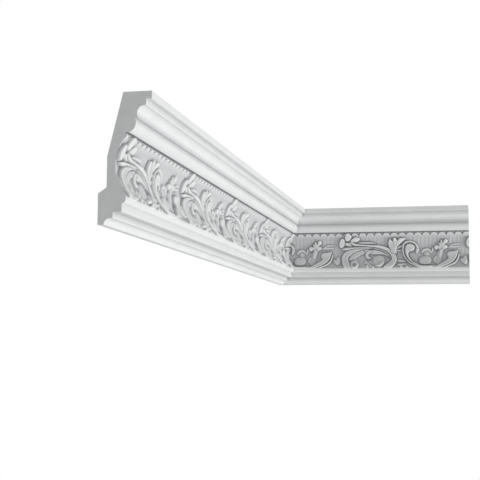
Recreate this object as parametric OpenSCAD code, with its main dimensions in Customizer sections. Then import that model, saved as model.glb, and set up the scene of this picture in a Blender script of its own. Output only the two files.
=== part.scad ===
// Cornice moulding with a carved frieze: two lengths mitred together in an inside corner.
// The origin is the corner of the two walls at the moulding's lower edge. The long run lies along -Y
// on the wall X = 0, and the short run along +X on the wall Y = 0. The room is at X > 0 and Y < 0.

/* [Runs] */
// Height of the moulding on the wall
height = 142; // [118:1:175]
// Reach of the moulding along the ceiling
projection = 58; // [48:0.5:75]
// Length of the long run, from the corner of the walls to its square end
long_len = 1018; // [300:1:1500]
// Length of the short run, from the corner of the walls to its square end
short_len = 363; // [200:1:1200]

/* [Crown, above the frieze] */
// Height of the top fillet under the ceiling
crown_h = 8.2; // [5:0.1:12]
// Step back from the top fillet to the second fillet
crown_step = 6.2; // [3:0.1:9]
// Height of the second fillet
second_h = 6.8; // [4:0.1:9]
// Ledge between the second fillet and the cove
second_step = 1; // [0.5:0.1:3]
// Radius of the cove under the second fillet
cove_r = 9; // [6:0.1:11]
// How far the cove runs on below its centre
cove_drop = 4.2; // [2:0.1:6]
// Setback of the ovolo from the cove
ovolo_step = 2; // [1:0.1:4]
// Radius of the ovolo over the frieze
ovolo_r = 10.7; // [8:0.1:12]
// Height of the ovolo over its centre
ovolo_rise = 5.4; // [3:0.1:8]
// How far out from its centre the ovolo ends at the quirk
ovolo_foot = 3.2; // [2:0.1:5]
// Height of the quirk cut under the ovolo
quirk_h = 1.4; // [0.8:0.1:2.5]
// Depth of that quirk behind the frieze's upper edge
quirk_d = 2.6; // [1:0.1:4]
// How far the frieze's upper edge lies behind the foot of the ovolo
quirk_step = 2; // [1:0.1:4]

/* [Base, below the frieze] */
// Thickness of the lower lip at its bottom edge
lip_t = 7; // [4:0.1:10]
// Radius of the cavetto over the lip
cavetto_r = 7; // [4:0.1:9]
// Height of the narrow fillet above the cavetto
narrow_h = 6.6; // [4:0.1:9]
// Reach of the narrow fillet from the wall
narrow_reach = 16.8; // [15:0.1:22]
// Height of the plinth fillet
plinth_h = 9; // [6:0.1:12]
// Reach of the plinth fillet from the wall
plinth_reach = 26.7; // [23:0.1:32]
// Height of the bead between the plinth fillet and the frieze
bead_h = 7.2; // [4:0.1:9]
// How far the bead stands out over the plinth fillet
bead_out = 4.4; // [3:0.1:6]

/* [Frieze and back] */
// Depth of the hollow of the frieze behind its two edges
hollow_d = 12.5; // [8:0.1:16]
// Thickness of the moulding behind the deepest line of the frieze
shell_t = 9.3; // [6:0.1:12]
// Height of the face glued to the wall
wall_face_h = 33.5; // [24:0.5:45]
// Width of the face glued to the ceiling
ceiling_face_w = 32; // [24:0.5:40]
// Height of the slope between that face and the upright stretch of the back
back_slope_h = 6.3; // [2:0.1:12]
// Height of the upright stretch of the back
back_h = 33; // [15:0.5:45]

/* [Ornament] */
// Length of one repeat of the scrollwork
repeat = 238.5; // [200:0.5:300]
// Place on the short run where a repeat starts, from the corner
short_phase = 107; // [0:0.5:230]
// Place on the long run where a repeat starts, from the corner
long_phase = -74; // [-230:0.5:0]
// Height of the scrolls, petals and palmette over the frieze
high_relief = 4.6; // [3:0.1:6]
// Height of the leaf sprays over the frieze
low_relief = 2.8; // [1.5:0.1:3.5]
// Height of the row of tongues over the frieze
tongue_relief = 1.3; // [0.8:0.1:2]
// Number of tongues in one repeat
tongues = 16; // [10:1:24]
// Gap between two tongues
tongue_gap = 1.6; // [1:0.1:3]
// Length of a tongue
tongue_len = 25; // [15:0.5:35]

/* [Hidden] */
$fn = 96;
plaster = [0.94, 0.94, 0.93];
sink = 2;              // how deep the ornament is rooted, and shapes overlap, in the moulding
over = 5;              // how far a cutter runs past what it cuts
edge_gap = 0.4;        // gap from the ornament to the edges of the frieze
ornament_len = 238.5;  // the length and height for which the ornament's own points are given
ornament_h = 67;
tongue_tip = 2.4;      // width of a tongue at its lower end
steps = 2;             // straight pieces between two points of a curve

// heights and reaches of the profile, from the wall (d) and from the lower edge (z)
narrow_z = cavetto_r;
plinth_z = narrow_z + narrow_h;
bead_z = plinth_z + plinth_h;
frieze_z = bead_z + bead_h;
second_z = height - crown_h;
cove_z = second_z - second_h;
second_reach = projection - crown_step;
cove_c = [second_reach - second_step, cove_z - cove_r];
cove_end = [cove_c[0] - sqrt(cove_r^2 - cove_drop^2), cove_c[1] - cove_drop];
ovolo_c = [cove_end[0] - ovolo_step - ovolo_r, cove_end[1] - ovolo_rise];
quirk_top = ovolo_c[1] - sqrt(ovolo_r^2 - ovolo_foot^2);
frieze_top = quirk_top - quirk_h;
top_reach = ovolo_c[0] + ovolo_foot - quirk_step;
bottom_reach = plinth_reach + bead_out;

// the hollow of the frieze is an arc through its two edges
chord = [top_reach - bottom_reach, frieze_top - frieze_z];
half = norm(chord) / 2;
hollow_r = (half^2 + hollow_d^2) / (2 * hollow_d);
out = [chord[1], -chord[0]] / norm(chord);
hollow_c = [bottom_reach, frieze_z] + chord / 2 + out * (hollow_r - hollow_d);
back_d = hollow_c[0] - hollow_r - shell_t;
frieze_h = frieze_top - frieze_z;

// ---- profile, drawn with the wall at the left: x is the distance from the wall, y the height ----

module crown() {
    translate([back_d, second_z]) square([projection - back_d, crown_h]);
    translate([back_d, cove_z]) square([second_reach - back_d, second_h + 1]);
    difference() {
        translate([back_d, cove_end[1]]) square([cove_c[0] - back_d, cove_z - cove_end[1] + 1]);
        translate(cove_c) circle(cove_r);
    }
    translate([back_d, ovolo_c[1]]) square([ovolo_c[0] - back_d, cove_end[1] - ovolo_c[1] + 1]);
    intersection() {
        translate(ovolo_c) circle(ovolo_r);
        translate([back_d, quirk_top]) square([projection, cove_end[1] - quirk_top]);
    }
}

module frieze_core() {
    difference() {
        translate([back_d, frieze_z]) square([hollow_c[0] - back_d, frieze_h]);
        translate(hollow_c) circle(hollow_r);
    }
    translate([back_d, frieze_top - sink]) square([top_reach - quirk_d - back_d, quirk_h + 2 * sink]);
    translate([back_d, quirk_top]) square([ovolo_c[0] - back_d, ovolo_c[1] - quirk_top + sink]);
}

module base() {
    difference() {
        square([narrow_reach, bead_z]);
        translate([lip_t + cavetto_r, 0]) circle(cavetto_r);
        translate([lip_t + cavetto_r, -over]) square([narrow_reach, over + cavetto_r]);
    }
    translate([0, plinth_z]) square([plinth_reach, plinth_h]);
    translate([0, bead_z]) square([plinth_reach, bead_h]);
    intersection() {
        translate([plinth_reach, bead_z + bead_out]) circle(bead_out);
        translate([0, bead_z]) square([bottom_reach, bead_out]);
    }
    translate([0, bead_z + bead_out]) square([bottom_reach, bead_h - bead_out]);
}

module back_hollow() {
    foot = wall_face_h + back_slope_h;
    polygon([[-over, wall_face_h], [0, wall_face_h], [back_d, foot], [back_d, foot + back_h],
             [projection - ceiling_face_w, height], [projection - ceiling_face_w, height + over],
             [-over, height + over]]);
}

module profile() {
    difference() {
        union() {
            crown();
            frieze_core();
            base();
            square([back_d + sink, height]);
        }
        back_hollow();
    }
}

// a slice of even thickness over the frieze, which bounds what is carved on it
module over_frieze(rise) {
    difference() {
        intersection() {
            translate(hollow_c) circle(hollow_r + sink);
            union() {
                translate([0, frieze_z + edge_gap]) square([bottom_reach - edge_gap, frieze_h / 2]);
                translate([0, frieze_z + frieze_h / 2]) square([hollow_c[0], frieze_h / 2 - edge_gap]);
            }
        }
        translate(hollow_c) circle(hollow_r - rise);
    }
}

// ---- outlines of the ornament, in [along, up] from the start of a repeat and the foot of the frieze ----

function at(p) = [p[0] * repeat / ornament_len, frieze_z + p[1] * frieze_h / ornament_h];

// a smooth curve through points, each given as [along, up, width]
function curve_point(p, i, t) =
    let (a = p[max(i - 1, 0)], b = p[i], c = p[i + 1], d = p[min(i + 2, len(p) - 1)])
    b + (c - a) * t / 2 + (2 * a - 5 * b + 4 * c - d) * t^2 / 2 + (3 * b - a - 3 * c + d) * t^3 / 2;
function curve(p) =
    concat([for (i = [0:len(p) - 2]) for (k = [0:steps - 1]) curve_point(p, i, k / steps)], [p[len(p) - 1]]);
function side_point(s, i, side) =
    let (n = len(s) - 1, e = s[min(i + 1, n)] - s[max(i - 1, 0)], along = [e[0], e[1]] / norm([e[0], e[1]]))
    at([s[i][0] - side * along[1] * s[i][2] / 2, s[i][1] + side * along[0] * s[i][2] / 2]);

module ribbon(p) {
    s = curve(p);
    n = len(s) - 1;
    polygon(concat([for (i = [0:n]) side_point(s, i, -1)], [for (i = [n:-1:0]) side_point(s, i, 1)]));
}

module disc(p, r) {
    polygon([for (a = [15:30:345]) at(p + r * [cos(a), sin(a)])]);
}

module scroll() {
    ribbon([[163, 31, 2], [163, 40, 4], [157, 49, 4.5], [148, 51.5, 4.5], [138, 47.5, 4.5], [133.5, 36, 4.5],
            [137, 22, 4.5], [147, 10.5, 4.5], [163, 3.5, 4.5], [183, 1.2, 4.5], [202, 1.6, 4.5],
            [218, 7, 4.5], [231, 17, 4], [236.5, 30, 1.5]]);
    disc([146.5, 38.5], 8.3);
    ribbon([[141, 37, 6], [141, 27, 6], [147, 17, 5], [160, 9, 2]]);
    ribbon([[199, 5, 4], [212, 10.5, 8], [223, 19, 11], [228, 31, 11]]);
}

module arch() {
    ribbon([[31, 49, 3], [44, 45, 4], [66, 44.5, 4.5], [88, 41.5, 6], [104, 33, 7.5], [114, 19, 8.5], [104, 0, 7]]);
    ribbon([[24, -1, 14], [23.5, 15, 13], [33, 27.5, 9.5], [50, 35, 6], [73, 38.5, 1.5]]);
    ribbon([[15, 37, 1], [28, 38.8, 4.5], [48, 40.6, 3], [69, 41.2, 1]]);
    ribbon([[39, 48.5, 1], [60, 49.2, 4], [82, 47.6, 1]]);
}

module bud() {
    ribbon([[17, 40.5, 6], [17, 48, 11], [17, 54.5, 5]]);
    disc([30, 58], 5.6);
    ribbon([[36.5, 54.5, 4], [43, 56, 9], [49.5, 57, 5]]);
    ribbon([[22, 46, 3], [27, 48, 8], [33, 49, 3]]);
}

module palmette() {
    for (tip = [[109, 56], [118.5, 57.5], [137, 56]])
        ribbon([[119, 30, 5], [(119 + tip[0]) / 2 - 1, 44, 9], [tip[0], tip[1], 2]]);
}

module sprays() {
    ribbon([[32, 14, 2], [44, 23.5, 7], [60, 31.5, 7.5], [80, 32, 4], [98, 24, 2.5]]);
    ribbon([[76, 30, 4], [66, 27, 6], [64, 21, 5], [72, 18, 2]]);
    disc([42, 6.5], 7.6);
    disc([90, 13.5], 11);
    ribbon([[121, 15, 1], [129, 10.5, 4.5], [137, 8, 1]]);
    ribbon([[203, 5, 12], [204, 26, 10], [206, 45, 5]]);
    for (lobe = [[212.5, 50.5, 3.8], [205, 47, 3.6], [196, 39, 4.2], [215.5, 39.5, 3.5],
                 [178, 28, 7], [176, 14.5, 9.3], [193, 14, 6.5], [9, 20, 3.4], [3, 15, 3.4], [10.5, 8.5, 4]])
        disc([lobe[0], lobe[1]], lobe[2]);
    disc([8, 14.5], 4.5);
    ribbon([[214, 36, 2], [226, 39.5, 5], [241, 42.5, 1]]);
    ribbon([[191, 22, 6], [188.5, 32, 4.5], [187, 38.5, 1]]);
}

// one tongue of the row under the ovolo: a round head over a long taper, from x = 0
module tongue() {
    r = (ornament_len / tongues - tongue_gap) / 2;
    head = ornament_h - 2 * edge_gap - r;
    foot = head + r - tongue_len;
    polygon(concat([at([r - tongue_tip / 2, foot]), at([r + tongue_tip / 2, foot])],
                   [for (a = [0:30:180]) at([r + r * cos(a), head + r * sin(a)])]));
}

// ---- the runs, along X with the wall at Y = 0 and the room at Y < 0 ----

module bar(from, to) {
    translate([to, 0, 0]) rotate([90, 0, -90]) linear_extrude(to - from) children();
}

// what is carved on the frieze: outlines repeated from one end of the run to the other
module carved(from, to, phase, rise) {
    first = ceil((from - phase) / repeat) - 1;
    last = floor((to - phase) / repeat);
    intersection() {
        bar(from, to) over_frieze(rise);
        rotate([90, 0, 0]) linear_extrude(hollow_c[0]) union() {
            for (k = [first:last]) translate([phase + k * repeat, 0]) children();
        }
    }
}

module run(from, to, phase) {
    bar(from, to) profile();
    carved(from, to, phase, high_relief) { scroll(); arch(); bud(); palmette(); }
    carved(from, to, phase, low_relief) sprays();
    carved(from, to, phase, tongue_relief)
        for (i = [0:tongues - 1]) translate([i * repeat / tongues, 0]) tongue();
}

module mitre_cut() {
    reach = projection + over;
    translate([0, 0, -over]) linear_extrude(height + 2 * over)
        polygon([[-2 * over, 2 * over], [reach, -reach], [-2 * over, -reach]]);
}

module long_run() {
    color(plaster) rotate([0, 0, 90]) difference() {
        run(-long_len, over, long_phase);
        mirror([1, 0, 0]) mitre_cut();
    }
}

module short_run() {
    color(plaster) difference() {
        run(-over, short_len, short_phase);
        mitre_cut();
    }
}

long_run();
short_run();
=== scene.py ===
"""A cornice moulding of primed hard foam: two lengths mitred together in an inside corner.

Each run is one closed mesh. Its section is drawn from named sizes, and the frieze in it carries a
carving: a height field laid up from strokes and leaves, in millimetres, over one repeat.
"""

import math

import bpy
import numpy as np
from mathutils import Matrix, Vector


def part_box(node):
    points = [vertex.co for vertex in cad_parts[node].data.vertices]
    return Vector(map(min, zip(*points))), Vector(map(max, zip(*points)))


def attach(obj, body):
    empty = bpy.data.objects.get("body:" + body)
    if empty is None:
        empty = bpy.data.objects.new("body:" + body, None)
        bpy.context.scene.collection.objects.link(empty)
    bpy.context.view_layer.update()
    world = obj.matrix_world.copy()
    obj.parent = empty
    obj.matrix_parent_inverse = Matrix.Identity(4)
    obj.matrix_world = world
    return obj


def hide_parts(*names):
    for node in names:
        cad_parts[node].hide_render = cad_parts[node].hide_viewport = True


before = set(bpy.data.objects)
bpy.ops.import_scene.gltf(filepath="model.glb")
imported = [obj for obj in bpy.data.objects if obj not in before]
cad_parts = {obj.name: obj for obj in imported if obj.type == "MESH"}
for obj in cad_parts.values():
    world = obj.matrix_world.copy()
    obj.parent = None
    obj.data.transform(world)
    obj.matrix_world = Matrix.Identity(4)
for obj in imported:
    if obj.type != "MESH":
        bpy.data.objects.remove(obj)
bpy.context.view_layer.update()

MM = 0.001

# ---- sizes, in millimetres ---------------------------------------------------------------------

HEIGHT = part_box("long_run")[1].z / MM
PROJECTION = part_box("long_run")[1].x / MM
LONG_LEN = -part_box("long_run")[0].y / MM
SHORT_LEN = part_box("short_run")[1].x / MM

# the crown, above the frieze
CROWN_H = 8.2
CROWN_STEP = 6.2
SECOND_H = 6.8
SECOND_STEP = 1.0
COVE_R = 9.0
COVE_DROP = 4.2
OVOLO_STEP = 2.0
OVOLO_R = 10.7
OVOLO_RISE = 5.4
OVOLO_FOOT = 3.2
QUIRK_H = 1.4
QUIRK_D = 2.6
QUIRK_STEP = 2.0

# the base, below the frieze
LIP_T = 7.0
CAVETTO_R = 7.0
NARROW_H = 6.6
NARROW_REACH = 16.8
PLINTH_H = 9.0
PLINTH_REACH = 26.7
BEAD_H = 7.2
BEAD_OUT = 4.4

# the frieze and the back
HOLLOW_D = 12.5
SHELL_T = 9.3
WALL_FACE_H = 33.5
CEILING_FACE_W = 32.0
BACK_SLOPE_H = 6.3
BACK_H = 33.0

# the ornament
REPEAT = 238.5
ORNAMENT_H = 67.0
SHORT_PHASE = 107.0
LONG_PHASE = -74.0
TONGUES = 16
TONGUE_PHASE = 12.4
TONGUE_RISE = 1.3
TONGUE_DISH = 0.5
TONGUE_GAP = 0.7
TONGUE_FOOT = 56.5    # height from which the tongues rise out of the flutes
TONGUE_FADE = 7.0     # height over which they do
HEAD_H = 7.4          # height of a tongue's round head
HEAD_FLATNESS = 2.7   # 2 is a half circle, more is flatter on top
DART_RISE = 0.9
DART_FOOT = 3.0       # height of a dart's tip over the foot of the heads
DART_SPREAD = 0.26    # half of a dart's width in each millimetre over its tip
TRENCH_D = 2.1        # depth of the cut round the heads
TRENCH_FOOT = 61.0    # height from which it is cut
TRENCH_FADE = 3.4     # height over which it reaches its depth
FLUTE_FOOT = 14.0     # height from which the flutes under the tongues begin to show
FLUTE_FADE = 22.0     # height over which they do

# heights and places that follow from them
PLINTH_Z = CAVETTO_R + NARROW_H
BEAD_Z = PLINTH_Z + PLINTH_H
FRIEZE_Z = BEAD_Z + BEAD_H
SECOND_Z = HEIGHT - CROWN_H
COVE_Z = SECOND_Z - SECOND_H
SECOND_REACH = PROJECTION - CROWN_STEP
COVE_C = (SECOND_REACH - SECOND_STEP, COVE_Z - COVE_R)
COVE_END = (COVE_C[0] - math.sqrt(COVE_R**2 - COVE_DROP**2), COVE_C[1] - COVE_DROP)
OVOLO_C = (COVE_END[0] - OVOLO_STEP - OVOLO_R, COVE_END[1] - OVOLO_RISE)
QUIRK_TOP = OVOLO_C[1] - math.sqrt(OVOLO_R**2 - OVOLO_FOOT**2)
FRIEZE_TOP = QUIRK_TOP - QUIRK_H
TOP_REACH = OVOLO_C[0] + OVOLO_FOOT - QUIRK_STEP
BOTTOM_REACH = PLINTH_REACH + BEAD_OUT
FRIEZE_H = FRIEZE_TOP - FRIEZE_Z
CHORD = math.hypot(TOP_REACH - BOTTOM_REACH, FRIEZE_H)
HOLLOW_R = (CHORD**2 / 4 + HOLLOW_D**2) / (2 * HOLLOW_D)
HOLLOW_C = (
    (BOTTOM_REACH + TOP_REACH) / 2 + FRIEZE_H / CHORD * (HOLLOW_R - HOLLOW_D),
    (FRIEZE_Z + FRIEZE_TOP) / 2 - (TOP_REACH - BOTTOM_REACH) / CHORD * (HOLLOW_R - HOLLOW_D),
)
BACK_D = HOLLOW_C[0] - HOLLOW_R - SHELL_T

OVOLO_TOP = (OVOLO_C[0] + math.sqrt(OVOLO_R**2 - OVOLO_RISE**2), COVE_END[1])

# the inner corners painted darker as shade: reach, height, width and how much
PAINTED_SHADE_CORNERS = (
    (SECOND_REACH, SECOND_Z, 3.0, 0.4),
    (COVE_C[0], COVE_Z, 0.8, 0.2),
    (*OVOLO_TOP, 1.4, 0.7),
    (*OVOLO_TOP, 9.0, 0.4),
    (PLINTH_REACH, BEAD_Z, 0.8, 0.45),
    (NARROW_REACH, PLINTH_Z, 3.0, 0.55),
)

# the mesh
ARC_STEP = 0.9        # length of a straight piece of a moulded curve
COARSE = 16           # fine columns in one column of the plain mouldings
MITRE_BLEND = 96.0    # length over which the columns turn from the mitre to square
MITRE_TURNS = 12      # steps in which the carving is fitted to the mitre
LONG_COLUMN = 0.62    # width of a fine column of the frieze, on each run
SHORT_COLUMN = 0.52
LONG_ROWS = 118       # rows up the frieze, on each run
SHORT_ROWS = 138
SHARP = 52.0          # degrees between two faces from which their edge is crisp
SQUARE_ON = 0.98      # cosine of the angle within which a face counts as square to the run
MOST_TRIANGLES = 186000

# ---- the carving: a height field over one repeat -----------------------------------------------

GRID = 0.25           # distance between two heights
COLUMNS = int(REPEAT / GRID)
ROWS = int(ORNAMENT_H / GRID) + 1
GROOVE_D = 2.0        # depth of the groove cut round each shape
GROOVE_W = 1.6        # its width
ROUNDING = 2.2        # width over which a shape's edge is rounded
CUP = 0.38            # how much of its rise a cupped stroke loses in its middle
VEIN = 0.22           # how much a veined one loses along its vein
VEIN_W = 0.6          # and half the width of that vein
STRAND = 0.22         # how much a stroke of strands loses between two of them
FLOOR = -1.8          # the deepest that grooves go into the ground
OVERHANG = 2.0        # how far the carving may stand out over the bead under it
FULL_RISE = 5.4       # the rise that is scaled down to keep within that
EDGE_FADE = 0.6       # height over which the carving dies away at the frieze's two edges
PAINT_BLUR = 0.34     # how softly the paint rounds the carving
FINE_W = 0.9          # width and depth of the fine recesses that are painted darker as shade
FINE_D = 1.1
BROAD_W = 4.0         # and of the broad ones
BROAD_D = 3.2
GROUND_SHADE = 0.45    # how much painted shade the level ground of the frieze gets
QUIRK_SHADE = 0.9      # and how much painted shade the quirk over it gets
ALONG = (np.arange(COLUMNS) * GRID)[None, :]
UP = (np.arange(ROWS) * GRID)[:, None]


def smooth(t):
    """A soft step from 0 to 1."""
    t = np.clip(t, 0.0, 1.0)
    return t * t * (3.0 - 2.0 * t)


def rounded(t):
    """A quarter circle's height from 0 to 1, level from 1 on."""
    return np.sqrt(1.0 - (1.0 - np.clip(t, 0.0, 1.0)) ** 2)


def curve(points, closed=False, step=0.5):
    """A smooth curve through points, each a list of numbers, as an array of close points."""
    p = np.array(points, float)
    n = len(p)
    out = []
    for i in range(n if closed else n - 1):
        if closed:
            a, b, c, d = p[(i - 1) % n], p[i], p[(i + 1) % n], p[(i + 2) % n]
        else:
            a, b, c, d = p[max(i - 1, 0)], p[i], p[i + 1], p[min(i + 2, n - 1)]
        pieces = max(2, int(math.hypot(c[0] - b[0], c[1] - b[1]) / step))
        for k in range(pieces):
            t = k / pieces
            out.append(
                b + (c - a) * t / 2 + (2 * a - 5 * b + 4 * c - d) * t**2 / 2
                + (3 * b - a - 3 * c + d) * t**3 / 2
            )
    if not closed:
        out.append(p[-1])
    return np.array(out)


class Carving:
    """One repeat of the frieze, as heights over its hollow face."""

    def __init__(self):
        self.h = np.zeros((ROWS, COLUMNS))

    def windows(self, lo, hi):
        """The parts of the field that a shape touches, also where the repeat joins on."""
        pad = GROOVE_W + GRID
        for shift in (-REPEAT, 0.0, REPEAT):
            c0 = max(0, int((lo[0] + shift - pad) / GRID))
            c1 = min(COLUMNS, int((hi[0] + shift + pad) / GRID) + 1)
            r0 = max(0, int((lo[1] - pad) / GRID))
            r1 = min(ROWS, int((hi[1] + pad) / GRID) + 1)
            if c0 < c1 and r0 < r1:
                yield (slice(r0, r1), slice(c0, c1)), ALONG[:, c0:c1] - shift, UP[r0:r1]

    def lay(self, window, inside, height, groove=GROOVE_D):
        """Puts a shape on top of what is there, with a groove round it."""
        under = self.h[window]
        cut = np.maximum(under - groove * smooth(1.0 + inside / GROOVE_W), np.minimum(under, FLOOR))
        edge = smooth(inside / GRID + 0.5)
        self.h[window] = cut * (1.0 - edge) + height * edge

    def stroke(self, points, low, high, shape="round", groove=GROOVE_D, strands=3):
        """A band along points, each [along, up, width]. shape says what its cross-section is."""
        s = curve(points)
        half = np.maximum(s[:, 2], 0.3) / 2
        lo = (s[:, :2] - half[:, None]).min(0)
        hi = (s[:, :2] + half[:, None]).max(0)
        e = np.gradient(s[:, :2], axis=0)
        e /= np.maximum(np.hypot(e[:, 0], e[:, 1]), 1e-9)[:, None]
        for window, x, y in self.windows(lo, hi):
            inside = np.full((y.shape[0], x.shape[1]), -1e9)
            which = np.zeros(inside.shape, int)
            for i, (p, r) in enumerate(zip(s, half)):
                here = r - np.hypot(x - p[0], y - p[1])
                closer = here > inside
                inside[closer] = here[closer]
                which[closer] = i
            q = ((y - s[which, 1]) * e[which, 0] - (x - s[which, 0]) * e[which, 1]) / half[which]
            q = np.clip(q, -1.0, 1.0)
            rise = rounded(inside / np.minimum(half[which], ROUNDING))
            if shape == "cupped":
                rise = rise * (1.0 - CUP * (1.0 - q * q) * smooth(half[which] / 2.0))
            if shape == "veined":
                rise = rise * (1.0 - VEIN * np.exp(-((q * half[which]) / VEIN_W) ** 2))
            if shape == "strands":
                wave = 0.5 - 0.5 * np.cos(math.pi * strands * (q + 1.0))
                rise = rise * (1.0 - STRAND + STRAND * wave)
            self.lay(window, inside, low + (high - low) * rise, groove)

    def leaf(self, points, low, high, edge=ROUNDING, dish=0.0, groove=GROOVE_D):
        """A shape in a closed outline of [along, up] points, rounded at its edge and dished within."""
        s = curve(points, closed=True)
        t = np.roll(s, -1, axis=0)
        for window, x, y in self.windows(s.min(0), s.max(0)):
            near = np.full((y.shape[0], x.shape[1]), 1e9)
            odd = np.zeros(near.shape, bool)
            for (ax, ay), (bx, by) in zip(s, t):
                near = np.minimum(near, np.hypot(x - (ax + bx) / 2, y - (ay + by) / 2))
                if ay != by:
                    odd ^= ((ay > y) != (by > y)) & (x < (bx - ax) * (y - ay) / (by - ay) + ax)
            inside = np.where(odd, near, -near)
            rise = rounded(inside / edge)
            rise = rise - dish * smooth((inside - edge * 0.6) / (edge * 1.6))
            self.lay(window, inside, low + (high - low) * rise, groove)

    def disc(self, centre, radius, low, high, edge=None, dish=0.0, groove=GROOVE_D):
        """A round boss, dished where dish isn't 0."""
        for window, x, y in self.windows(np.array(centre) - radius, np.array(centre) + radius):
            inside = radius - np.hypot(x - centre[0], y - centre[1])
            rise = rounded(inside / (edge or radius))
            rise = rise - dish * smooth((inside / radius - 0.35) / 0.5)
            self.lay(window, inside, low + (high - low) * rise, groove)

    def crease(self, points, depth, width=1.1):
        """A fine line cut along [along, up] points."""
        s = curve(points)
        n = len(s)
        for window, x, y in self.windows(s.min(0), s.max(0)):
            cut = np.zeros((y.shape[0], x.shape[1]))
            for i, p in enumerate(s):
                fade = smooth(min(i, n - 1 - i) / (0.25 * n) + 0.25)
                away = (x - p[0]) ** 2 + (y - p[1]) ** 2
                cut = np.maximum(cut, fade * np.exp(-away / (width / 2) ** 2))
            self.h[window] -= depth * cut


def tongue_row(c):
    """The row of tongues under the ovolo, with a dart between each two, fading into flutes below."""
    pitch = REPEAT / TONGUES
    across = (ALONG - TONGUE_PHASE + pitch / 2) % pitch - pitch / 2
    over_head = UP - (ORNAMENT_H - HEAD_H)
    reach = np.abs(across) ** HEAD_FLATNESS + np.maximum(over_head, 0.0) ** HEAD_FLATNESS
    inside = (pitch - TONGUE_GAP) / 2 - reach ** (1 / HEAD_FLATNESS)
    fade = smooth((UP - TONGUE_FOOT) / TONGUE_FADE)
    rise = TONGUE_RISE * rounded(inside / ROUNDING) - TONGUE_DISH * smooth((inside - 1.6) / 3.0)
    gap = np.abs(np.abs(across) - pitch / 2)
    over_tip = over_head - DART_FOOT
    dart = DART_RISE * smooth((DART_SPREAD * over_tip - gap) / 0.9) * smooth(over_tip / 2.0)
    trench = TRENCH_D * smooth(0.85 - inside / 0.9) * smooth((UP - TRENCH_FOOT) / TRENCH_FADE)
    turn = 2 * math.pi * across / pitch
    flutes = 0.20 * np.cos(2 * turn) + 0.12 * np.cos(5 * turn)
    c.h += np.maximum(rise, 0.0) * fade + dart - trench * (dart < 0.05)
    c.h += flutes * smooth((UP - FLUTE_FOOT) / FLUTE_FADE) * (1.0 - fade)


def leaf_bits(c):
    """The small leaves in the low places between the scrolls."""
    c.disc([42.0, 13.5], 5.5, 0.4, 1.6, groove=0.8)
    for centre, radius in (
        ([63.5, 11.0], 3.8), ([68.0, 8.0], 3.6), ([73.0, 11.5], 3.2), ([66.0, 3.2], 3.4),
        ([72.0, 4.6], 3.0), ([76.8, 8.4], 3.0), ([77.0, 2.4], 2.8),
    ):
        c.disc(centre, radius, 0.6, 2.4, groove=0.9)
    c.stroke([[121, 14.6, 1.2], [126.3, 13.6, 4.6], [133.6, 12.9, 4.2], [139, 11.2, 1]],
             1.0, 2.9, "veined", 1.4)
    c.stroke([[121.5, 6.4, 1.2], [128, 5.6, 4.6], [135, 7.0, 3.8], [142, 7.0, 1]],
             1.0, 2.9, "veined", 1.2)
    c.disc([130.0, 1.8], 3.2, 0.8, 2.6, groove=1.2)
    c.disc([140.6, 1.6], 3.0, 0.8, 2.4, groove=1.2)
    c.leaf([[0.6, 14.6], [2.6, 10], [6.4, 6.6], [10.8, 6], [14, 9.4], [15.2, 14.6], [13.6, 19.6],
            [10.2, 23], [7.6, 21.4], [6.6, 17.8], [3.2, 17.4]], 0.4, 3.2, edge=5.0, groove=1.1)
    c.crease([[4.4, 12.6], [8.4, 14], [12.6, 13.4]], 0.6, 1.6)
    c.crease([[-0.6, 19.4], [2.4, 19.2], [4.8, 20]], 1.4, 2.6)
    c.disc([9.8, 8.2], 2.6, 1.6, 3.8, groove=0.3)


def inner_leaf(c):
    """The long leaf in the crook of the arch, its curled tip and the leaf that hangs over the seed."""
    c.leaf([[30.4, 14.4], [31.2, 21], [35, 27.5], [42, 33], [51, 36.5], [61, 37.8], [68.5, 37.5],
            [66.5, 32], [60, 27.6], [54, 25.6], [49, 22.6], [42, 18.2], [35.5, 15.6]],
           0.6, 2.7, edge=3.6, groove=0.5)
    c.crease([[34, 18.5], [43, 24.5], [54, 30.5], [64, 34.5]], 0.5)
    c.crease([[34, 22.5], [42, 29], [54, 34], [64, 36]], 0.35)
    c.stroke([[61, 34.5, 3.5], [70, 31.8, 8], [78, 31, 9.4], [87, 30.2, 7.6], [95, 28.4, 4.6],
              [101, 26, 3.4], [106, 22, 2]], 1.6, 3.5, "veined")
    c.stroke([[73, 33, 4], [66.3, 29.6, 6.2], [64.4, 24.6, 6.2], [66.8, 20.4, 5.8], [72, 19.2, 2.2]],
             1.8, 3.9, "cupped")


def seed(c):
    """The seed in the eye of the arch, and the little rosette at the arch's foot."""
    c.disc([87.6, 13.6], 12.0, 0.0, 3.8, groove=0.1)
    for k in range(4):
        a = math.radians(70 + 26 * k)
        ray = [math.cos(a), math.sin(a)]
        c.crease([[87.6 + 10 * ray[0], 12 + 10 * ray[1]], [88 + 5 * ray[0], 9 + 5 * ray[1]],
                  [88 + 1.5 * ray[0], 6 + 1.5 * ray[1]]], 0.25, 1.4)
    c.stroke([[82, 4.6, 2.4], [88.6, 4.8, 5.4], [94, 7.4, 5.4], [97, 12.4, 2.6]], 2.2, 5.8, groove=0.1)
    c.disc([41.4, 6.9], 8.4, 0.4, 3.5, edge=3.4, dish=1.0, groove=0.9)
    c.stroke([[35.4, 3.4, 2], [38.6, 1.2, 3.4], [43.6, 1.2, 3.8], [48, 4.8, 2.8], [49.2, 8.6, 1.6]],
             2.6, 5.2, groove=0.2)


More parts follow.
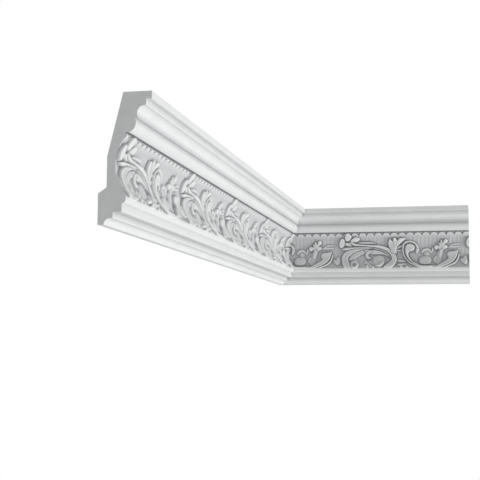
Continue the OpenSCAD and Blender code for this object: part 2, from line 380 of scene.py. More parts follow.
def sprays(c):
    """The low growth at the end of the repeat: acanthus, buds and the spray that runs on to the next."""
    c.stroke([[219, 39.8, 1], [226, 43, 3.2], [233.8, 44.3, 3.4], [243.5, 44.2, 1]],
             0.9, 2.4, groove=0.7)
    c.stroke([[215.5, 38.6, 1.5], [222, 39, 3.6], [233, 39.7, 3.6], [241.5, 40.2, 1]],
             0.9, 2.4, groove=0.7)
    c.stroke([[187.4, 30, 2.6], [188.6, 34.8, 4], [188, 39.4, 1]], 0.9, 2.8, groove=1.4)
    c.disc([177.6, 27.6], 6.0, 0.2, 2.2, groove=0.5)
    c.stroke([[168.6, 28.4, 3], [171.6, 33.0, 5], [177.2, 35.0, 5.2], [182.2, 33.2, 5], [187, 27.6, 3]],
             0.8, 3.0, groove=1.2)
    c.leaf([[162.8, 12.4], [164.2, 18.2], [169, 22], [175, 23], [180.6, 22.4], [185.2, 19.4], [187, 13.4],
            [184.2, 7.6], [176.2, 5.4], [166.8, 6.6]], 0.2, 3.4, edge=7.0, groove=0.9)
    c.crease([[166, 22.4], [162.4, 18], [161.6, 12], [164.8, 6], [172, 4], [181, 4.2], [190, 5]],
             1.7, 2.6)
    c.stroke([[196.4, 23.4, 1.5], [193.6, 18.2, 5.4], [192.8, 13.2, 5.6], [196.4, 8.6, 3]],
             0.8, 3.0, "cupped", 1.2)


def acanthus(c):
    """The upright leaf with its five lobes."""
    c.stroke([[199.6, 8, 9], [200.4, 16, 10], [201.6, 24, 10], [203.2, 31, 11]], 0.2, 1.6, "veined", 0.5)
    c.leaf([[192.4, 34.8], [196.2, 34.0], [199.0, 36.0], [201.0, 33.0], [204.4, 31.6], [208.4, 32.8],
            [211.4, 35.4], [214.6, 36.4], [216.2, 39.4], [214.4, 42.6], [210.8, 42.8], [211.4, 45],
            [214.8, 46.4], [216.6, 49.8], [215, 53.4], [211.4, 54], [208.8, 51.2], [207.7, 46.8],
            [206.4, 50.4], [204.9, 53.2], [203.2, 50.4], [202.4, 46.4], [200.8, 48], [198.6, 46.6],
            [200.2, 42], [197.4, 42.8], [192.6, 42], [190.8, 38.4]], 1.6, 4.3, edge=2.4)
    c.crease([[203.6, 33], [204.4, 40], [204.8, 49]], 0.5)
    c.crease([[205.4, 34], [208.6, 41], [212.4, 49]], 0.5)
    c.crease([[202.6, 34], [200, 37.4], [195.6, 38.8]], 0.5)
    c.stroke([[201.4, 21, 5], [203, 28, 7], [204.8, 34.6, 6.6]], 0.8, 3.4, groove=0.0)
    c.crease([[194.6, 31.4], [196.8, 32.2], [199, 33.4]], 1.6, 2.8)


def arch(c):
    """The great stem: its arch at the left, the blades along it and the hook that ends it."""
    c.stroke([[74.5, 38.2, 1], [82, 37.4, 2.8], [90, 35.4, 2.8], [98, 32, 2.8], [105, 27, 2.8],
              [110.5, 20.5, 2]], 2.2, 3.7)
    c.stroke([[30, -2, 12.6], [26, 6.5, 13.6], [22.8, 16.5, 13.2], [24.6, 24.6, 13], [31.6, 30.6, 11],
              [41.5, 34.6, 6.8], [53, 37.1, 4.2], [63, 38.3, 3], [74.5, 38.3, 1.5]],
             1.6, 4.1, "strands", strands=2)
    c.stroke([[16.2, 37.4, 1.5], [21, 36.8, 4.4], [27.5, 37.8, 5.2], [36, 38.9, 3.8], [48, 39.6, 2.6],
              [60, 39.9, 2.2], [75, 40.1, 1]], 2.4, 4.5)
    c.stroke([[31, 48.4, 2], [35, 48.6, 4.6], [41.5, 45.6, 5], [50, 44.4, 3.8], [61, 43.8, 3.6],
              [78, 42.4, 4.4], [89, 40.8, 6.2], [100, 37.3, 7], [107, 33, 7.6], [112.5, 27.5, 8.2],
              [116, 21, 9.2], [116.4, 15, 10], [112.4, 8.2, 11.4], [102, -1, 12.5]], 2.4, 4.8, "strands")
    c.stroke([[46, 48.1, 0.8], [52, 48.6, 2.6], [60, 48.7, 3.5], [68, 48.6, 3.5], [75, 48.3, 3],
              [82.5, 46.5, 0.8]], 2.6, 4.7)


def bud(c):
    """The four petals over the arch."""
    c.stroke([[24, 46.4, 4], [27.5, 46.5, 6.4], [31.5, 44.4, 4.6], [35.5, 42.2, 2]], 2.0, 3.9)
    c.stroke([[15.0, 40.6, 4], [16.0, 44, 9], [17.4, 48.5, 11.2], [18.3, 53, 8.4], [18.6, 55.2, 4]],
             2.0, 4.5)
    c.leaf([[22.6, 55.5], [23.8, 61.5], [26.0, 65.6], [31.4, 66], [35.0, 63], [36.4, 59.6],
            [34.9, 56], [31.6, 52.4], [26.3, 52.0]], 2.4, 4.9, edge=3.4)
    c.stroke([[35.4, 52.2, 4], [39.5, 53.5, 7.2], [44, 54.6, 9.6], [48.4, 55.6, 6]], 2.2, 4.7)
    c.crease([[16, 42], [17, 49], [18.2, 54]], 0.35)
    c.crease([[37, 52.5], [43, 54.4], [49, 56]], 0.35)


def palmette(c):
    """The three-lobed leaf over the hook, and the little leaf at its side."""
    c.stroke([[121, 36.6, 3], [126, 40.4, 3.6], [131.2, 41.6, 2.4]], 1.4, 3.2, groove=1.0)
    c.stroke([[120.5, 33.4, 4], [126, 33.2, 3.6], [131.5, 34.2, 2]], 1.2, 2.8, groove=0.8)
    c.leaf([[111, 29.5], [108.6, 36], [106, 41], [105.1, 47.5], [106.6, 53], [108.2, 55.4], [110.9, 54.2],
            [113.3, 51.0], [114.4, 55], [116.6, 57.4], [119.8, 57], [122.8, 52.6], [126.5, 56.4],
            [132.5, 57], [139.2, 56.2], [133, 50.4], [128, 46], [125, 43.4], [121.6, 38.6], [120.4, 33],
            [121.5, 28]], 2.2, 4.6, edge=2.6)
    c.crease([[113.6, 51.6], [114.4, 46], [115.4, 39]], 0.7, 1.5)
    c.crease([[122.6, 52], [120.8, 46.5], [119, 39]], 0.6, 1.5)
    c.crease([[108.2, 53.5], [108.6, 46], [111.5, 37]], 0.4, 1.2)
    c.crease([[126.6, 36.2], [129, 37], [131.6, 38]], 1.6, 2.8)


def scroll(c):
    """The great C-scroll: its rim, the comma it curls round, and the cupped leaf it opens into."""
    c.stroke([[203, -1.4, 2.6], [211.6, 0.7, 3.2], [218.6, 3.6, 3.4], [226.2, 7.0, 3.6], [231.6, 11, 3.8],
              [234.8, 16, 3.4], [236.4, 21.8, 3], [237.6, 27.4, 1.2]], 1.4, 3.8, groove=1.4)
    c.stroke([[158.4, 28.8, 3.6], [160.0, 34, 6.2], [159.7, 40, 6.2], [156.4, 45.5, 4.6]],
             1.0, 3.0, groove=0.8)
    c.stroke([[160.2, 38, 2], [159.2, 42, 3.2], [156.0, 46.1, 3.6], [150.2, 49.4, 3.6],
              [144.5, 50.3, 3.2], [139.3, 49, 3], [135, 45.6, 2.9], [133.3, 40.5, 2.9],
              [132.9, 33.3, 2.9], [134, 26, 2.9], [137.2, 19.7, 3], [141.4, 14.3, 3.1],
              [146.5, 9.6, 3.3], [156, 5, 3.8], [165, 2.4, 4.4], [176, 1.6, 4.8], [192, 1.4, 5.2]],
             2.0, 4.4)
    c.leaf([[141.2, 44.8], [145.5, 46], [150, 45.4], [153.8, 42.6], [155.2, 38.6], [153.2, 33.6],
            [149.4, 31.6], [145, 31], [143.1, 27.6], [143.7, 23], [147.4, 17], [151.9, 12.4], [157, 9.4],
            [162, 7.2], [167, 4.8], [157, 5.8], [151.9, 8.6], [145.8, 13.4], [141.3, 19], [138, 26.1],
            [136.9, 33.3], [137.6, 39.6]], 2.2, 4.8, edge=2.8, dish=0.1)
    c.crease([[156.4, 29.2], [151.4, 30.6], [147, 31], [144.2, 28], [144.6, 22.8], [148.6, 16.4],
              [153.4, 11.6], [159.4, 8.4], [167, 5.6]], 1.3, 2.0)
    c.leaf([[186, 0.2], [194.9, 3.4], [200.2, 6], [204.5, 8.9], [209.5, 12.2], [214.5, 15], [217, 18.4],
            [215.2, 22], [215.4, 27], [219.4, 30.6], [227, 31.6], [235.2, 33], [234.8, 28.4], [233, 21.8],
            [229.2, 15.4], [223.4, 9.9], [216, 5.4], [208.8, 2.6], [202, -0.2], [196, -2.0], [188, -2.8]],
           2.0, 4.8, edge=4.2)
    c.stroke([[198, -0.4, 2.4], [206, 2.4, 2.8], [214.6, 5.8, 3.2], [222.6, 10.6, 3.4], [229, 17.2, 3.4],
              [232.4, 24.4, 3], [234.2, 31.4, 1.2]], 3.8, 5.2, groove=0.4)


def carve():
    """The whole repeat, from the lowest layer to the highest, slightly softened by its paint."""
    c = Carving()
    tongue_row(c)
    leaf_bits(c)
    inner_leaf(c)
    seed(c)
    sprays(c)
    acanthus(c)
    arch(c)
    palmette(c)
    bud(c)
    scroll(c)
    return soften(c.h, PAINT_BLUR)


def soften(h, sigma):
    """Blurs the field by a soft width of sigma millimetres."""
    reach = int(3 * sigma / GRID) + 1
    k = np.exp(-((np.arange(-reach, reach + 1) * GRID) ** 2) / (2 * sigma**2))
    k /= k.sum()
    h = sum(w * np.roll(h, i - reach, axis=1) for i, w in enumerate(k))
    edge = np.pad(h, ((reach, reach), (0, 0)), mode="edge")
    return sum(w * edge[i:i + h.shape[0]] for i, w in enumerate(k))


def recesses(h):
    """How far each place lies in a recess of the carving, from 0 on its tops to 1 in its grooves, as the
    amount of painted shade it gets.
    """
    fine = np.clip((soften(h, FINE_W) - h) / FINE_D, 0.0, 1.0)
    broad = np.clip((soften(h, BROAD_W) - h) / BROAD_D, -0.75, 1.0)
    # painted shade: the level ground somewhat darker, fine grooves and broad hollows darker still, the
    # tops left at the paint's own colour
    return soften(np.clip(GROUND_SHADE + 0.5 * fine + 0.75 * broad, 0.0, 1.0), 0.3)


def sample(h, along, up):
    """The height at places along the repeat and up the frieze."""
    x = (along % REPEAT) / REPEAT * COLUMNS
    y = np.clip(up / FRIEZE_H * (ROWS - 1), 0, ROWS - 1.001)
    c0 = x.astype(int)
    r0 = y.astype(int)
    fx = x - c0
    fy = y - r0
    c1 = (c0 + 1) % COLUMNS
    c0 = c0 % COLUMNS
    low = h[r0, c0] * (1 - fx) + h[r0, c1] * fx
    high = h[r0 + 1, c0] * (1 - fx) + h[r0 + 1, c1] * fx
    return low * (1 - fy) + high * fy


# ---- the section -------------------------------------------------------------------------------


def arc(centre, radius, start, end, soft_start=0.0, soft_end=0.0):
    """Points along an arc, each [reach, height, softness], between two angles in degrees."""
    pieces = max(3, int(abs(math.radians(end - start)) * radius / ARC_STEP))
    out = []
    for k in range(pieces + 1):
        a = math.radians(start + (end - start) * k / pieces)
        soft = soft_start if k == 0 else soft_end if k == pieces else 0.0
        out.append([centre[0] + radius * math.cos(a), centre[1] + radius * math.sin(a), soft])
    return out


def base_section():
    """From the wall, along the underside and up to the lower edge of the frieze."""
    return (
        [[0, 0, 0.4], [LIP_T, 0, 0.5]]
        + arc((LIP_T + CAVETTO_R, 0), CAVETTO_R, 174, 90)
        + [[NARROW_REACH, CAVETTO_R, 0.5], [NARROW_REACH, PLINTH_Z, 0.3], [PLINTH_REACH, PLINTH_Z, 0.6],
           [PLINTH_REACH, BEAD_Z, 0.25]]
        + arc((PLINTH_REACH, BEAD_Z + BEAD_OUT), BEAD_OUT, -84, 0)
    )


def crown_section():
    """From the quirk over the frieze, round the crown to the ceiling and down the back to the wall."""
    foot = math.degrees(math.atan2(QUIRK_TOP - OVOLO_C[1], OVOLO_FOOT))
    top = math.degrees(math.asin(OVOLO_RISE / OVOLO_R))
    turn = math.degrees(math.atan2(-COVE_DROP, COVE_END[0] - COVE_C[0])) % 360
    return (
        [[TOP_REACH - QUIRK_D, FRIEZE_TOP, 0.3], [TOP_REACH - QUIRK_D, QUIRK_TOP, 0.3]]
        + arc(OVOLO_C, OVOLO_R, foot, top, 0.35, 0.25)
        + arc(COVE_C, COVE_R, turn, 90, 0.4, 0.2)
        + [[SECOND_REACH, COVE_Z, 0.5], [SECOND_REACH, SECOND_Z, 0.3], [PROJECTION, SECOND_Z, 0.6],
           [PROJECTION, HEIGHT, 0.5], [PROJECTION - CEILING_FACE_W, HEIGHT, 0.5],
           [BACK_D, WALL_FACE_H + BACK_SLOPE_H + BACK_H, 0.5], [BACK_D, WALL_FACE_H + BACK_SLOPE_H, 0.5],
           [0, WALL_FACE_H, 0.5]]
    )


def round_corners(points):
    """Rounds each corner that has a softness, and keeps the faces beside it flat."""
    out = []
    n = len(points)
    for i, (d, z, soft) in enumerate(points):
        here = np.array([d, z])
        if soft == 0:
            out.append(here)
            continue
        back = np.array(points[i - 1][:2]) - here
        on = np.array(points[(i + 1) % n][:2]) - here
        lb, lo = np.hypot(*back), np.hypot(*on)
        b = min(soft, 0.45 * lb)
        o = min(soft, 0.45 * lo)
        p, q = here + back / lb * b, here + on / lo * o
        if lb > 4 * b:
            out.append(here + back / lb * b * 1.7)
        for t in (0, 0.33, 0.67, 1):
            out.append(p * (1 - t) ** 2 + here * 2 * t * (1 - t) + q * t * t)
        if lo > 4 * o:
            out.append(here + on / lo * o * 1.7)
    return out


def section_halves():
    """The rounded section below the frieze and above it."""
    edges = [[BOTTOM_REACH, FRIEZE_Z, 0], [TOP_REACH, FRIEZE_TOP, 0]]
    points = round_corners(base_section() + edges + crown_section())
    foot = next(i for i, p in enumerate(points) if np.allclose(p, edges[0][:2]))
    return points[:foot], points[foot + 2:]


def frieze_rows(count):
    """Angles up the frieze, spaced evenly along its arc from its lower edge to its upper one."""
    low = math.atan2(FRIEZE_Z - HOLLOW_C[1], BOTTOM_REACH - HOLLOW_C[0]) % (2 * math.pi)
    high = math.atan2(FRIEZE_TOP - HOLLOW_C[1], TOP_REACH - HOLLOW_C[0]) % (2 * math.pi)
    return [low + (high - low) * k / (count - 1) for k in range(count)]


def frieze_face(carved, along, angle):
    """How far the carved frieze reaches from the wall, at places along the repeat."""
    z = HOLLOW_C[1] + HOLLOW_R * math.sin(angle)
    d = HOLLOW_C[0] + HOLLOW_R * math.cos(angle)
    up = z - FRIEZE_Z
    rise = sample(carved, along, np.full(along.shape, up)) / abs(math.cos(angle))
    rise = rise * smooth((up - 0.1) / EDGE_FADE) * smooth((FRIEZE_H - 0.3 - up) / EDGE_FADE)
    if up > FRIEZE_H / 2:
        return d + rise
    return d + rise * min(1.0, (BOTTOM_REACH + OVERHANG - d) / FULL_RISE)


def long_along(u):
    """The place along the repeat at a distance u from the corner, on the long run."""
    return -u - LONG_PHASE


def short_along(u):
    """The same on the short run, where the repeat runs the other way, seen from the corner."""
    return u - SHORT_PHASE


# ---- a run -------------------------------------------------------------------------------------


def run_grid(length, column):
    """Distances from the corner to the columns, before the mitre is cut."""
    cells = int(length / column / COARSE) * COARSE
    return np.linspace(0.0, length, cells + 1)


def mitred(s, first):
    """Moves the columns so that the first one lies at the mitre."""
    return s + first * (1.0 - smooth(s / MITRE_BLEND))


class Shell:
    """The closed surface of a run: rows of points round the section, each row along the run."""

    def __init__(self, place):
        self.place = place
        self.points = []
        self.rows = []

    def row(self, u, d, z):
        """A row at height z, with each point at a distance u from the corner and a reach d."""
        start = len(self.points)
        self.points.extend(self.place(a, b, z) for a, b in zip(u, d))
        self.rows.append(range(start, len(self.points)))
        return self.rows[-1]

    def faces(self):
        """The faces between the rows, and one at each end."""
        out = []
        for a, b in zip(self.rows, self.rows[1:] + self.rows[:1]):
            out.extend(faces_between(a, b))
        out.append([r[0] for r in self.rows])
        out.append([r[-1] for r in reversed(self.rows)])
        return out


def faces_between(a, b):
    """The faces between two rows, of which one may have COARSE times as many columns."""
    if len(a) == len(b):
        return [(a[k], a[k + 1], b[k + 1], b[k]) for k in range(len(a) - 1)]
    if len(a) < len(b):
        return [[a[k], a[k + 1]] + [b[j] for j in range((k + 1) * COARSE, k * COARSE - 1, -1)]
                for k in range(len(a) - 1)]
    return [[a[j] for j in range(k * COARSE, (k + 1) * COARSE + 1)] + [b[k + 1], b[k]]
            for k in range(len(b) - 1)]


def plain_rows(shell, s, section):
    """The rows of the plain mouldings."""
    for d, z in section:
        u = mitred(s[::COARSE], d)
        shell.row(u, np.full(u.shape, d), z)


def carved_rows(shell, s, carved, along, count):
    """The rows of the frieze, each started where its own carving meets the mitre."""
    frieze = []
    for angle in frieze_rows(count):
        first = HOLLOW_C[0] + HOLLOW_R * math.cos(angle)
        for _ in range(MITRE_TURNS):
            first = 0.5 * first + 0.5 * float(frieze_face(carved, along(np.array([first])), angle)[0])
        u = mitred(s, first)
        d = frieze_face(carved, along(u), angle)
        d[0] = first
        frieze.extend(shell.row(u, d, HOLLOW_C[1] + HOLLOW_R * math.sin(angle)))
    return frieze


def run_mesh(name, node, carved, length, along, column, rows, place):
    """One run as a closed mesh.

    along turns a distance from the corner into a place along the repeat, and place turns a
    distance, a reach and a height into a point.
    """
    s = run_grid(length, column)
    below, above = section_halves()
    shell = Shell(place)
    plain_rows(shell, s, below)
    frieze = carved_rows(shell, s, carved, along, rows)
    plain_rows(shell, s, above)
    mesh = bpy.data.meshes.new(name)
    mesh.from_pydata([tuple(c * MM for c in p) for p in shell.points], [], shell.faces())
    mesh.validate()
    piece = bpy.data.objects.new(name, mesh)
    bpy.context.scene.collection.objects.link(piece)
    turn_outwards(piece)
    thin_out(piece, frieze)
    keep_in_box(piece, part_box(node))
    return piece


def turn_outwards(piece):
    """Turns the mesh inside out where its volume is negative."""
    mesh = piece.data
    mesh.calc_loop_triangles()
    tri = np.zeros(len(mesh.loop_triangles) * 3, np.int32)
    mesh.loop_triangles.foreach_get("vertices", tri)
    co = np.zeros(len(mesh.vertices) * 3)
    mesh.vertices.foreach_get("co", co)
    p = co.reshape(-1, 3)[tri.reshape(-1, 3)]
    if np.einsum("ij,ij->i", p[:, 0], np.cross(p[:, 1], p[:, 2])).sum() < 0:
        mesh.flip_normals()


def thin_out(piece, frieze):
    """Takes triangles out of the flat places of the frieze, down to MOST_TRIANGLES for the piece."""
    count = sum(len(p.vertices) - 2 for p in piece.data.polygons)
    if count > MOST_TRIANGLES:
        group = piece.vertex_groups.new(name="frieze")
        group.add(frieze, 1.0, "REPLACE")
        mod = piece.modifiers.new("thin", "DECIMATE")
        mod.ratio = MOST_TRIANGLES / count
        mod.vertex_group = group.name
        dg = bpy.context.evaluated_depsgraph_get()
        thin = bpy.data.meshes.new_from_object(piece.evaluated_get(dg))
        piece.modifiers.clear()
        piece.data = thin
        piece.vertex_groups.clear()
    piece.data.name = piece.name


def keep_in_box(piece, box):
    """Pulls back the points that thinning moved out of the CAD solid's box by a rounding error."""
    co = np.zeros(len(piece.data.vertices) * 3)
    piece.data.vertices.foreach_get("co", co)
    co = np.clip(co.reshape(-1, 3), np.array(box[0]), np.array(box[1]))
    piece.data.vertices.foreach_set("co", co.ravel())
    piece.data.update()


def finish_faces(piece, coats, length, axis):
    """Smooth shading with crisp edges, and the second coat on the face that was sawn at length."""
    mesh = piece.data
    mesh.materials.clear()
    for coat in coats:
        mesh.materials.append(coat)
    normals = np.zeros(len(mesh.polygons) * 3)
    mesh.polygons.foreach_get("normal", normals)
    centres = np.zeros(len(mesh.polygons) * 3)
    mesh.polygons.foreach_get("center", centres)
    square = np.abs(normals.reshape(-1, 3)[:, axis]) > SQUARE_ON
    far = np.abs(centres.reshape(-1, 3)[:, axis]) > (length - 0.1) * MM
    mesh.polygons.foreach_set("material_index", (square & far).astype(np.int32))
    mesh.polygons.foreach_set("use_smooth", np.ones(len(mesh.polygons), bool))
    mesh.set_sharp_from_angle(angle=math.radians(SHARP))
    mesh.update()


def mark_recesses(piece, shade, along, axes):
    """Stores how far each point lies in a recess, which the paint darkens there as painted shade.

    axes are the axis that the run lies along and the axis that its reach is measured on.
    """
    mesh = piece.data
    co = np.zeros(len(mesh.vertices) * 3)
    mesh.vertices.foreach_get("co", co)
    co = co.reshape(-1, 3) / MM
    u = np.abs(co[:, axes[0]])
    d = np.abs(co[:, axes[1]])
    z = co[:, 2]
    front = d > BACK_D + SHELL_T / 2
    carved = front & (z > FRIEZE_Z + 0.2) & (z < FRIEZE_TOP + 0.1)
    values = np.zeros(len(co))
    values[carved] = sample(shade, along(u[carved]), z[carved] - FRIEZE_Z)
    # painted shade along the quirk's dark line
    values[front & (z > FRIEZE_TOP - 0.3) & (z < QUIRK_TOP + 0.05)] = QUIRK_SHADE
    # painted shade in the inner corners of the mouldings
    for reach, height, width, amount in PAINTED_SHADE_CORNERS:
        corner_shade = amount * smooth(1.0 - np.hypot(d - reach, z - height) / width)
        values = np.maximum(values, corner_shade * front)
    # the recess attribute carries the painted shade to the paint
    mesh.attributes.new("recess", "FLOAT", "POINT").data.foreach_set("value", values)


# ---- materials ---------------------------------------------------------------------------------

PAINTED_SHADE_COLOUR = (0.352, 0.364, 0.372)    # the colour painted where the painted shade is deepest


class Nodes:
    """A short way to write a material's nodes."""

    def __init__(self, name):
        self.material = bpy.data.materials.new(name)
        self.material.use_nodes = True
        self.tree = self.material.node_tree
        self.shader = self.tree.nodes["Principled BSDF"]

    def add(self, kind, **values):
        """A new node, with each value set on the input or the setting of that name."""
        node = self.tree.nodes.new(kind)
        for key, value in values.items():
            if key in node.inputs:
                node.inputs[key].default_value = value
            else:
                setattr(node, key, value)
        return node

    def link(self, a, out, b, into):
        """Joins an output of one node to an input of another."""
        self.tree.links.new(a.outputs[out], b.inputs[into])

    def ramp(self, source, out, stops):
        """Colours between the stops, each (place, colour), that follow a texture."""
        node = self.tree.nodes.new("ShaderNodeValToRGB")
        self.link(source, out, node, "Fac")
        while len(node.color_ramp.elements) < len(stops):
            node.color_ramp.elements.new(0.5)
        for element, (place, colour) in zip(node.color_ramp.elements, stops):
            element.position = place
            element.color = (*colour, 1.0)
        return node

    def multiplied(self, base, pattern, amount):
        """The base colour times a pattern, as far as amount says."""
        node = self.add("ShaderNodeMix", data_type="RGBA", blend_type="MULTIPLY")
        node.inputs[0].default_value = amount
        self.link(base, "Color", node, 6)
        self.link(pattern, "Color", node, 7)
        return node

    def roughness(self, source, low, high):
        """A roughness between low and high that follows a noise."""
        node = self.add("ShaderNodeMapRange")
        node.inputs["To Min"].default_value = low
        node.inputs["To Max"].default_value = high
        self.link(source, "Fac", node, "Value")
        self.link(node, "Result", self.shader, "Roughness")

    def bump(self, source, out, strength, distance, under=None):
        """A bump that follows a texture, laid over the bump under it where there is one."""
        node = self.add("ShaderNodeBump", Strength=strength, Distance=distance)
        self.link(source, out, node, "Height")
        if under:
            self.link(under, "Normal", node, "Normal")
        return node


def primed_foam():
    """White primer on fine hard foam: dull and faintly cloudy, with pin-prick pores, darkened in its
    recesses and inner corners as painted shade.
    """
    n = Nodes("primed_foam")
    where = n.add("ShaderNodeNewGeometry")
    cloud = n.add("ShaderNodeTexNoise", Scale=22.0, Detail=5.0, Roughness=0.6)
    grain = n.add("ShaderNodeTexNoise", Scale=900.0, Detail=3.0, Roughness=0.55)
    pores = n.add("ShaderNodeTexVoronoi", Scale=620.0)
    for node in (cloud, grain, pores):
        n.link(where, "Position", node, "Vector")
    tint = n.ramp(cloud, "Fac", [(0.30, (0.738, 0.748, 0.749)), (0.55, (0.768, 0.777, 0.777)),
                                 (0.75, (0.785, 0.792, 0.791))])
    pits = n.ramp(pores, "Distance", [(0.0, (0.86, 0.86, 0.86)), (0.10, (1, 1, 1))])
    coat = n.multiplied(tint, pits, 0.5)
    # painted shade: the paint is mixed towards a cool grey as far as the recess attribute says
    recess = n.add("ShaderNodeAttribute", attribute_name="recess")
    shaded_coat = n.add("ShaderNodeMix", data_type="RGBA", blend_type="MIX")
    shaded_coat.inputs[7].default_value = (*PAINTED_SHADE_COLOUR, 1.0)
    n.link(recess, "Fac", shaded_coat, 0)
    n.link(coat, 2, shaded_coat, 6)
    n.link(shaded_coat, 2, n.shader, "Base Color")
    n.roughness(cloud, 0.62, 0.8)
    fine = n.bump(grain, "Fac", 0.12, 0.3 * MM)
    n.link(n.bump(pits, "Color", 0.25, 0.3 * MM, under=fine), "Normal", n.shader, "Normal")
    n.shader.inputs["Specular IOR Level"].default_value = 0.35
    return n.material


def sawn_foam():
    """The bare foam where a run was sawn off: greyer, fine-celled, with faint saw marks."""
    n = Nodes("sawn_foam")
    where = n.add("ShaderNodeNewGeometry")
    cells = n.add("ShaderNodeTexVoronoi", Scale=1400.0)
    cloud = n.add("ShaderNodeTexNoise", Scale=60.0, Detail=4.0, Roughness=0.6)
    turn = n.add("ShaderNodeMapping")
    turn.inputs["Rotation"].default_value = (0.0, math.radians(8), 0.0)
    turn.inputs["Scale"].default_value = (1.0, 1.0, 9.0)
    saw = n.add("ShaderNodeTexNoise", Scale=70.0, Detail=2.0, Roughness=0.5)
    n.link(where, "Position", cells, "Vector")
    n.link(where, "Position", cloud, "Vector")
    n.link(where, "Position", turn, "Vector")
    n.link(turn, "Vector", saw, "Vector")
    tint = n.ramp(cloud, "Fac", [(0.3, (0.65, 0.664, 0.668)), (0.7, (0.71, 0.725, 0.73))])
    cell_tint = n.ramp(cells, "Distance", [(0.0, (0.86, 0.86, 0.86)), (0.5, (1, 1, 1))])
    n.link(n.multiplied(tint, cell_tint, 0.7), 2, n.shader, "Base Color")
    n.roughness(cloud, 0.85, 0.95)
    fine = n.bump(cells, "Distance", 0.3, 0.2 * MM)
    n.link(n.bump(saw, "Fac", 0.25, 0.6 * MM, under=fine), "Normal", n.shader, "Normal")
    n.shader.inputs["Specular IOR Level"].default_value = 0.2
    return n.material


def pale_floor():
    """A pale floor that keeps the object's shadow."""
    n = Nodes("pale_floor")
    cloud = n.add("ShaderNodeTexNoise", Scale=3.0, Detail=3.0)
    tint = n.ramp(cloud, "Fac", [(0.3, (0.86, 0.86, 0.86)), (0.7, (0.88, 0.88, 0.88))])
    n.link(tint, "Color", n.shader, "Base Color")
    n.shader.inputs["Roughness"].default_value = 0.9
    return n.material


# ---- the scene ---------------------------------------------------------------------------------

# the camera in metres, degrees and millimetres of lens, so that it sees what the photograph shows
CAMERA_AT = (0.4068, -2.1008, -0.1345)
CAMERA_YAW = 13.102
CAMERA_PITCH = 5.954
CAMERA_ROLL = 0.439
LENS = 82.02
SENSOR = 36.0

# the light: how strong it is all round, then each lamp's name, place, target, size and power
ALL_ROUND = 0.48
LAMPS = (
    ("key", (3.2, -0.75, -0.95), (0.0, -0.4, 0.07), 1.2, 64.0),
    ("front", (0.8, -3.6, -1.4), (0.2, 0.0, 0.07), 1.4, 11.0),
    ("back_fill", (-2.6, 1.6, 1.6), (0.0, -0.3, 0.07), 1.6, 10.0),
)

FLOOR_Z = -2.4
FLOOR_HALF = 6.0


def make_camera():
    """The camera, at the viewing angle of the photograph."""
    yaw, pitch, roll = (math.radians(a) for a in (CAMERA_YAW, CAMERA_PITCH, CAMERA_ROLL))
    ahead = Vector((-math.sin(yaw) * math.cos(pitch), math.cos(yaw) * math.cos(pitch), math.sin(pitch)))
    right = Vector((math.cos(yaw), math.sin(yaw), 0.0))
    up = right.cross(ahead)
    x = math.cos(roll) * right + math.sin(roll) * up
    y = -math.sin(roll) * right + math.cos(roll) * up
    data = bpy.data.cameras.new("camera")
    data.lens = LENS
    data.sensor_width = SENSOR
    camera = bpy.data.objects.new("camera", data)
    camera.matrix_world = Matrix.Translation(CAMERA_AT) @ Matrix((x, y, -ahead)).transposed().to_4x4()
    bpy.context.scene.collection.objects.link(camera)
    bpy.context.scene.camera = camera


def make_lamp(name, place, target, size, power):
    """A soft square lamp at place, aimed at target."""
    data = bpy.data.lights.new(name, "AREA")
    data.shape = "SQUARE"
    data.size = size
    data.energy = power
    lamp = bpy.data.objects.new(name, data)
    aim = Vector(target) - Vector(place)
    lamp.matrix_world = Matrix.Translation(place) @ aim.to_track_quat("-Z", "Y").to_matrix().to_4x4()
    lamp.visible_camera = False
    bpy.context.scene.collection.objects.link(lamp)


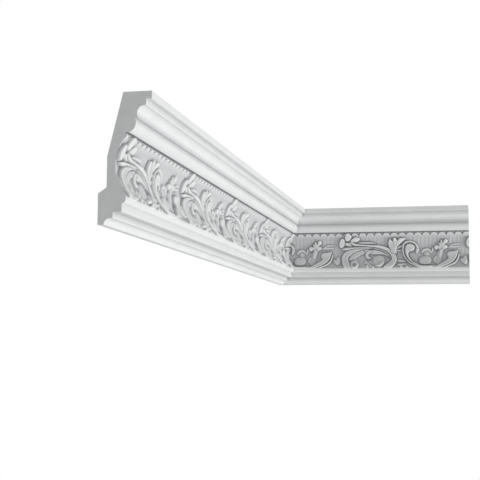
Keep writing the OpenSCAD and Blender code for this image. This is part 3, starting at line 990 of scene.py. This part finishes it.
def make_floor():
    """The floor under the whole scene."""
    mesh = bpy.data.meshes.new("floor")
    corners = [(-1, -1), (1, -1), (1, 1), (-1, 1)]
    mesh.from_pydata([(x * FLOOR_HALF, y * FLOOR_HALF, FLOOR_Z) for x, y in corners], [], [(0, 1, 2, 3)])
    floor = bpy.data.objects.new("floor", mesh)
    mesh.materials.append(pale_floor())
    bpy.context.scene.collection.objects.link(floor)


def make_world():
    """Soft grey light all round, and white where the camera looks past the object."""
    world = bpy.data.worlds.new("world")
    bpy.context.scene.world = world
    world.use_nodes = True
    tree = world.node_tree
    light = tree.nodes["Background"]
    light.inputs["Color"].default_value = (1.0, 1.0, 1.0, 1.0)
    light.inputs["Strength"].default_value = ALL_ROUND
    white = tree.nodes.new("ShaderNodeBackground")
    white.inputs["Color"].default_value = (1.0, 1.0, 1.0, 1.0)
    white.inputs["Strength"].default_value = 1.0
    path = tree.nodes.new("ShaderNodeLightPath")
    mix = tree.nodes.new("ShaderNodeMixShader")
    seen = path.outputs["Is Camera Ray"]
    for ray in ("Is Glossy Ray", "Is Transmission Ray"):
        either = tree.nodes.new("ShaderNodeMath")
        either.operation = "MAXIMUM"
        tree.links.new(seen, either.inputs[0])
        tree.links.new(path.outputs[ray], either.inputs[1])
        seen = either.outputs[0]
    tree.links.new(seen, mix.inputs[0])
    tree.links.new(light.outputs[0], mix.inputs[1])
    tree.links.new(white.outputs[0], mix.inputs[2])
    tree.links.new(mix.outputs[0], tree.nodes["World Output"].inputs["Surface"])


def build():
    """Both runs, each in place of its CAD solid."""
    carved = carve()
    shade = recesses(carved)
    coats = (primed_foam(), sawn_foam())
    long_piece = run_mesh("long_moulding", "long_run", carved, LONG_LEN, long_along,
                          LONG_COLUMN, LONG_ROWS, lambda u, d, z: (d, -u, z))
    short_piece = run_mesh("short_moulding", "short_run", carved, SHORT_LEN, short_along,
                           SHORT_COLUMN, SHORT_ROWS, lambda u, d, z: (u, -d, z))
    for piece, node, length, along, axes in (
        (long_piece, "long_run", LONG_LEN, long_along, (1, 0)),
        (short_piece, "short_run", SHORT_LEN, short_along, (0, 1)),
    ):
        finish_faces(piece, coats, length, axes[0])
        mark_recesses(piece, shade, along, axes)
        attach(piece, "root")
        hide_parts(node)


build()
make_floor()
make_world()
for lamp in LAMPS:
    make_lamp(*lamp)
make_camera()
bpy.context.scene.view_settings.view_transform = "Standard"
